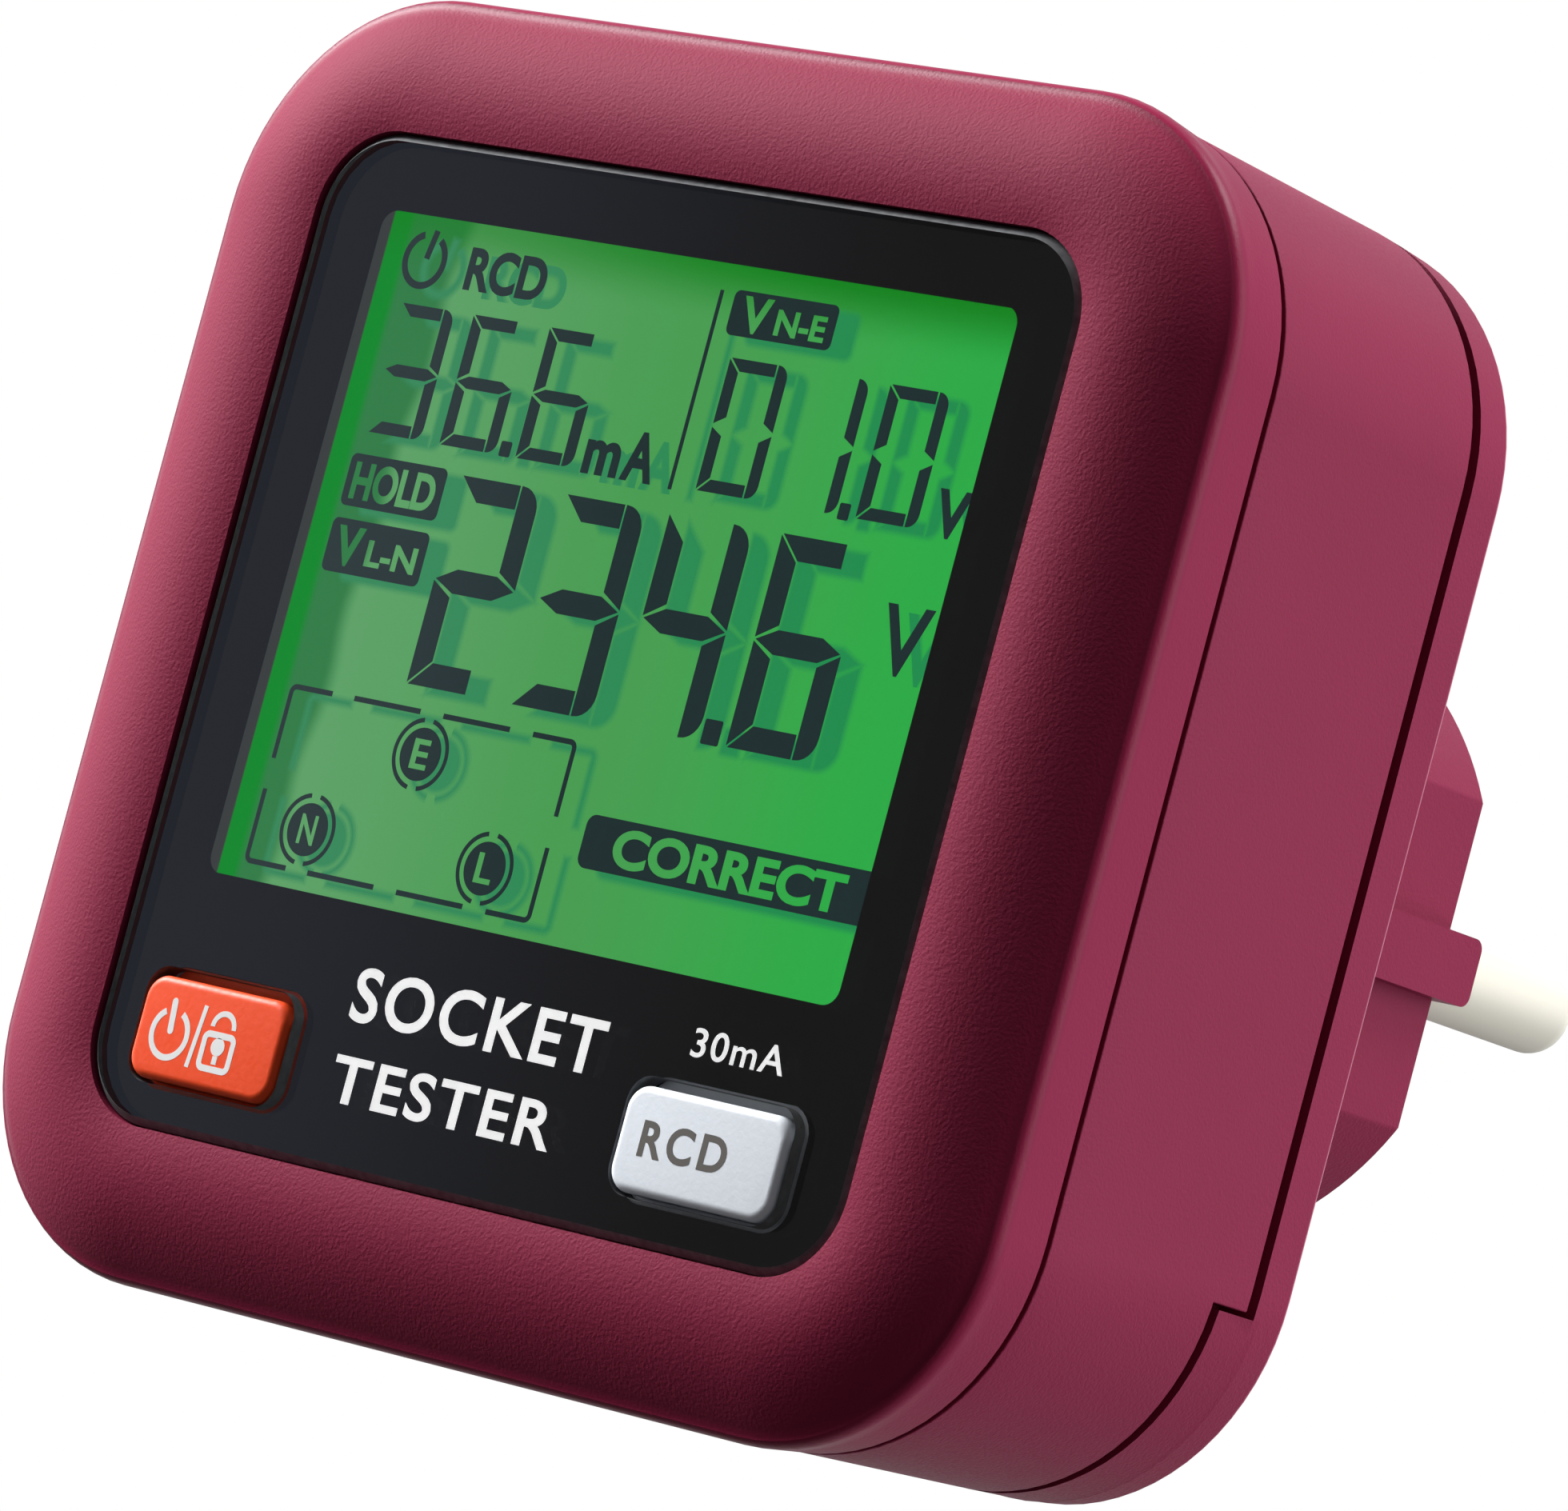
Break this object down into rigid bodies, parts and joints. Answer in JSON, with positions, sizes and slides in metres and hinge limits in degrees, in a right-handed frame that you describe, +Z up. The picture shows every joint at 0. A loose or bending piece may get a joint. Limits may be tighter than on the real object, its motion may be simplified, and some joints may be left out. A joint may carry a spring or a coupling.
{
  "type": "outlet tester plug",
  "caption": "Square socket tester with a display and push buttons in front and a round earthed mains plug behind.",
  "frame": {"origin": "centre of the plug body's end face, between the pins", "axes": "+Y into the wall socket, +Z up, +X to the right as seen from the display"},
  "size_m": [0.072, 0.0768, 0.072],
  "materials": {
    "case_plastic": "fine moulded grain",
    "panel_plastic": "smooth semi-gloss",
    "window_clear": "polished",
    "lcd_green": "lit display glass",
    "diffuser_white": "frosted",
    "orange_plastic": "satin",
    "white_plastic": "satin",
    "black_plastic": "satin",
    "rubber_strip": "layered",
    "board_laminate": "solder mask",
    "ceramic": "dull",
    "film_yellow": "semi-gloss",
    "blue_plastic": "satin",
    "fuse_glass": "clear",
    "nickel": "bright nickel plate",
    "brass": "satin",
    "steel": "zinc plated",
    "blue_insulation": "satin",
    "brown_insulation": "satin",
    "green_insulation": "satin"
  },
  "bodies": {
    "case": {"front_cover": "case_plastic", "middle_housing": "case_plastic", "rear_cover": "case_plastic", "display_panel": "panel_plastic", "display_window": "window_clear", "power_switch_body": "black_plastic", "rcd_switch_body": "black_plastic", "lcd_glass": "lcd_green", "light_guide": "diffuser_white", "lcd_frame": "black_plastic", "contact_strip": "rubber_strip", "main_board": "board_laminate", "power_board": "board_laminate", "microcontroller": "black_plastic", "crystal": "steel", "board_header": "black_plastic", "load_resistor": "ceramic", "film_capacitor": "film_yellow", "relay": "blue_plastic", "reservoir_capacitor": "black_plastic", "varistor": "blue_plastic", "fuse": "fuse_glass", "fuse_cap_left": "nickel", "fuse_cap_right": "nickel", "contact_carrier": "black_plastic", "live_pin": "nickel", "neutral_pin": "nickel", "earth_contact_top": "nickel", "earth_contact_bottom": "nickel", "earth_bridge": "brass", "live_lead": "brown_insulation", "neutral_lead": "blue_insulation", "earth_lead": "green_insulation", "case_screw_1": "steel", "case_screw_2": "steel", "case_screw_3": "steel", "case_screw_4": "steel"},
    "power_key": {"power_button": "orange_plastic", "power_switch_stem": "black_plastic"},
    "rcd_key": {"rcd_button": "white_plastic", "rcd_switch_stem": "black_plastic"}
  },
  "joints": [
    {"name": "power_button_press", "type": "slide", "parent": "case", "child": "power_key", "axis": [0, 1, 0], "range_m": [0, 0.0008], "stiffness_N_per_m": 1500, "springref_m": -0.0006},
    {"name": "rcd_button_press", "type": "slide", "parent": "case", "child": "rcd_key", "axis": [0, 1, 0], "range_m": [0, 0.0008], "stiffness_N_per_m": 1500, "springref_m": -0.0006}
  ]
}
